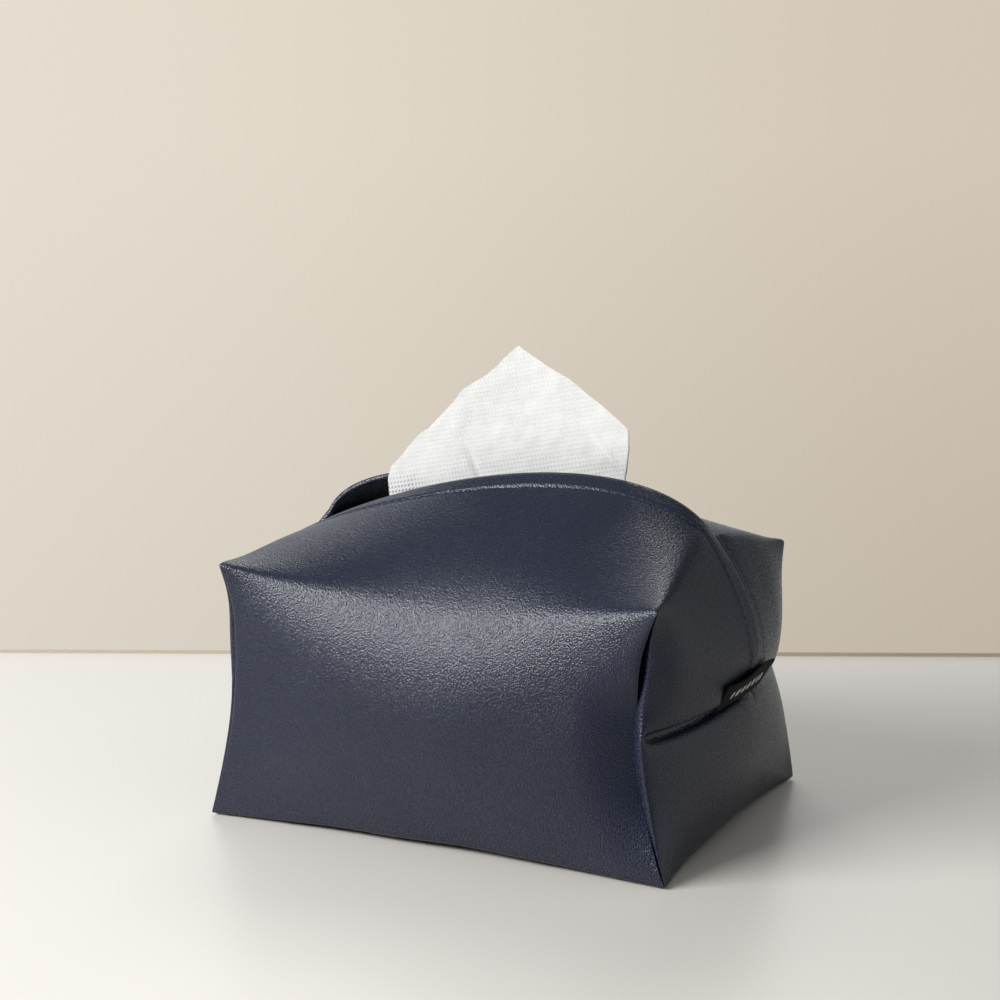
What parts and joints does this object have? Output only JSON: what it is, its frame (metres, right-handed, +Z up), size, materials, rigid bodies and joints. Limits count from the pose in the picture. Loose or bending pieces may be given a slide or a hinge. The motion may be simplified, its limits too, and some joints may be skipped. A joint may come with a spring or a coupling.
{
  "type": "soft tissue case",
  "caption": "Soft leatherette case for a pack of tissues, with pinched corners, a long sewn mouth on top and a tissue drawn up through it.",
  "frame": {"origin": "middle of the flat base, on the surface that the case stands on", "axes": "+X along the length towards the end with the label, +Y from the front to the back, +Z up"},
  "size_m": [0.2219, 0.153, 0.19],
  "materials": {
    "leatherette": "satin, fine pebble grain, dark navy",
    "woven_label": "matt black weave",
    "film": "thin milky film",
    "tissue": "soft embossed paper"
  },
  "bodies": {
    "case": {"case_sheet": "leatherette", "pack_film": "film", "tissue_stack": "tissue"},
    "label": {"loop_label": "woven_label"},
    "drawn_sheet": {"drawn_tissue": "tissue"},
    "next_sheet": {"next_tissue": "tissue"}
  },
  "joints": [
    {"name": "tissue_pull", "type": "slide", "parent": "case", "child": "drawn_sheet", "axis": [0, 0, 1], "range_m": [0, 0.056]},
    {"name": "next_tissue_rise", "type": "slide", "parent": "case", "child": "next_sheet", "axis": [0, 0, 1], "range_m": [0, 0.028]},
    {"name": "label_flex", "type": "hinge", "parent": "case", "child": "label", "pos_m": [0.10597, -0.007, 0.05901], "axis": [0, 1, 0], "range_deg": [0, 60], "stiffness_Nm_per_rad": 0.0005, "springref_deg": -11.46}
  ],
  "couplings": [
    {"joint": "next_tissue_rise", "follows": "tissue_pull", "ratio": 0.5}
  ]
}
